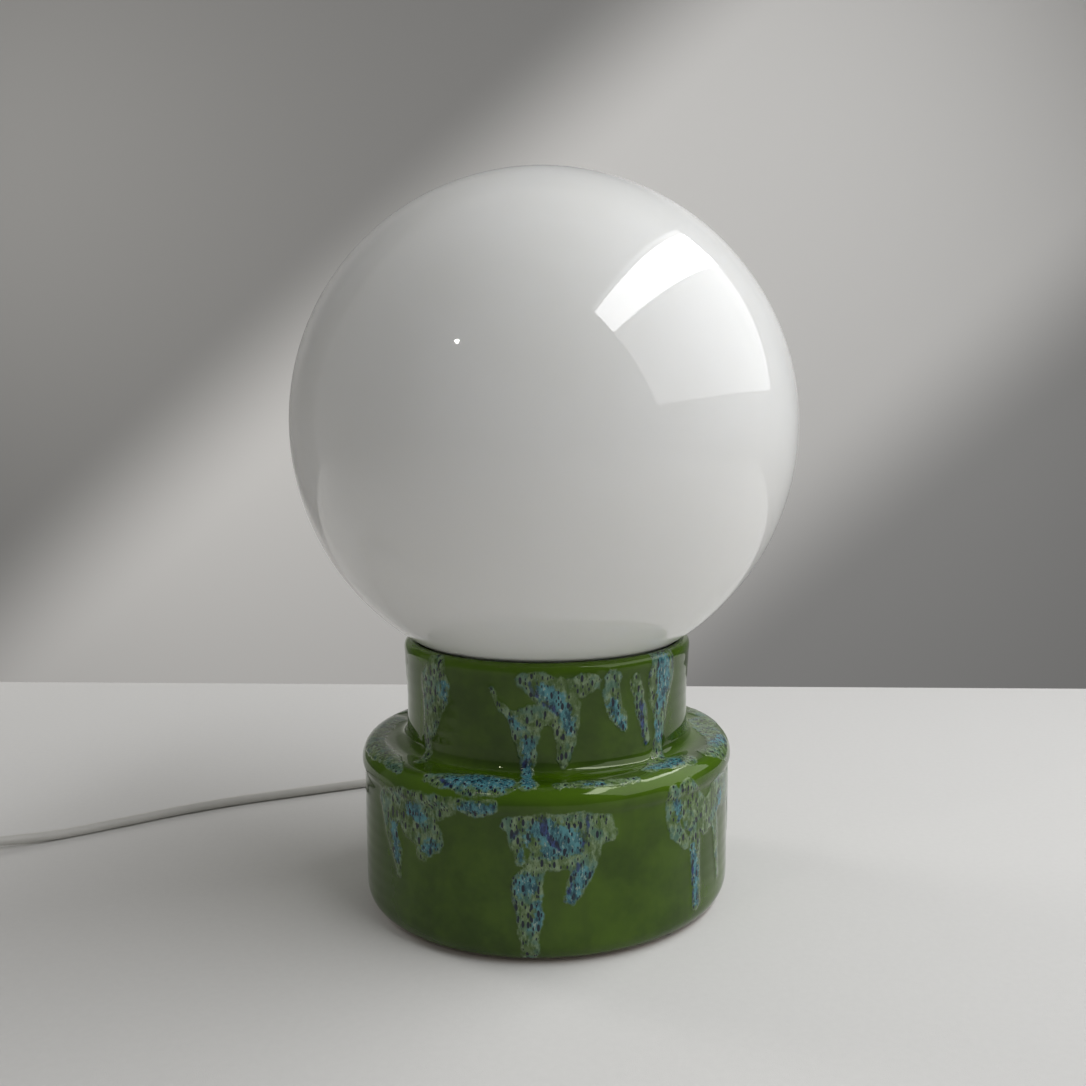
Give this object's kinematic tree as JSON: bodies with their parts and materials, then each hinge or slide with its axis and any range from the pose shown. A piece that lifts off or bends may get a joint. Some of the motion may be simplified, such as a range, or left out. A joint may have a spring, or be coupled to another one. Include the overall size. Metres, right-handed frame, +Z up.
{
  "type": "table lamp",
  "caption": "Globe table lamp: opal glass globe resting in the collar of a round two-tier glazed ceramic base, with screw lamp holder, bulb and corded switch.",
  "frame": {"origin": "centre of the circle the lamp stands on, at the table surface", "axes": "+Z up along the axis of the globe and base; -Y is the front and the cord leaves the back at +Y"},
  "size_m": [0.5321, 0.296, 0.3628],
  "materials": {
    "glaze": "glossy leaf-green glaze with poured pale celadon and turquoise runs",
    "opal_glass": "gloss, opal inner layer cased in clear glass",
    "bulb_glass": "clear",
    "black_glass": "black vitrite, gloss",
    "felt": "matt pressed felt",
    "brass": "satin",
    "zinc": "zinc plated, satin",
    "nickel": "nickel plated, polished",
    "solder": "dull solder",
    "tungsten": "dull",
    "porcelain": "unglazed white porcelain",
    "bakelite": "gloss moulded",
    "cord_vinyl": "satin flexible vinyl",
    "plug_plastic": "satin flexible vinyl",
    "switch_plastic": "semi-gloss moulded",
    "rocker_plastic": "semi-gloss moulded",
    "sleeve_plastic": "matt",
    "tie_strap": "woven hook-and-loop strap",
    "blue_sleeve": "satin",
    "brown_sleeve": "satin"
  },
  "bodies": {
    "base": {"ceramic_base": "glaze", "foot_pad_1": "felt", "foot_pad_2": "felt", "foot_pad_3": "felt", "foot_pad_4": "felt", "threaded_nipple": "brass", "washer_top": "zinc", "washer_bottom": "zinc", "spring_washer": "zinc", "nut_top": "brass", "nut_bottom": "brass", "screw_shell": "nickel", "holder_cap": "bakelite", "holder_lock_screw": "brass", "holder_shell": "bakelite", "holder_insert": "porcelain", "centre_contact": "brass", "terminal_left": "brass", "terminal_right": "brass", "terminal_screw_left": "zinc", "terminal_screw_right": "zinc", "neutral_wire": "blue_sleeve", "live_wire": "brown_sleeve", "cord_bushing": "cord_vinyl", "inner_cord": "cord_vinyl", "cord_lead": "cord_vinyl", "switch_base": "switch_plastic", "switch_cover": "switch_plastic", "switch_pivot_pin": "zinc", "switch_screw_1": "zinc", "switch_screw_2": "zinc", "switch_contact_fixed": "brass", "switch_contact_moving": "brass", "cord_coil": "cord_vinyl", "cord_tie": "tie_strap", "cord_tail": "cord_vinyl", "cord_end": "cord_vinyl", "plug_body": "plug_plastic", "plug_boot": "plug_plastic", "plug_pin_left": "nickel", "plug_pin_right": "nickel", "pin_sleeve_left": "sleeve_plastic", "pin_sleeve_right": "sleeve_plastic"},
    "globe": {"glass_globe": "opal_glass"},
    "bulb_tip": {"bulb_tip_contact": "solder"},
    "bulb": {"bulb_insulator": "black_glass", "bulb_cap": "nickel", "bulb_glass": "bulb_glass", "bulb_stem": "bulb_glass", "filament_lead_left": "zinc", "filament_lead_right": "zinc", "filament": "tungsten"},
    "rocker": {"switch_rocker": "rocker_plastic"}
  },
  "joints": [
    {"name": "globe_lift", "type": "slide", "parent": "base", "child": "globe", "axis": [0, 0, 1], "range_m": [0, 0.14]},
    {"name": "bulb_rise", "type": "slide", "parent": "base", "child": "bulb_tip", "axis": [0, 0, 1], "range_m": [0, 0.0185]},
    {"name": "bulb_turn", "type": "hinge", "parent": "bulb_tip", "child": "bulb", "pos_m": [0, 0, 0.1267], "axis": [0, 0, 1], "range_deg": [0, 1800]},
    {"name": "rocker_tilt", "type": "hinge", "parent": "base", "child": "rocker", "pos_m": [-0.354, 0.01, 0.0114], "axis": [-0.5, 0.866, 0], "range_deg": [0, 16]}
  ],
  "couplings": [
    {"joint": "bulb_rise", "follows": "bulb_turn", "m_per_rad": 0.0005775}
  ]
}
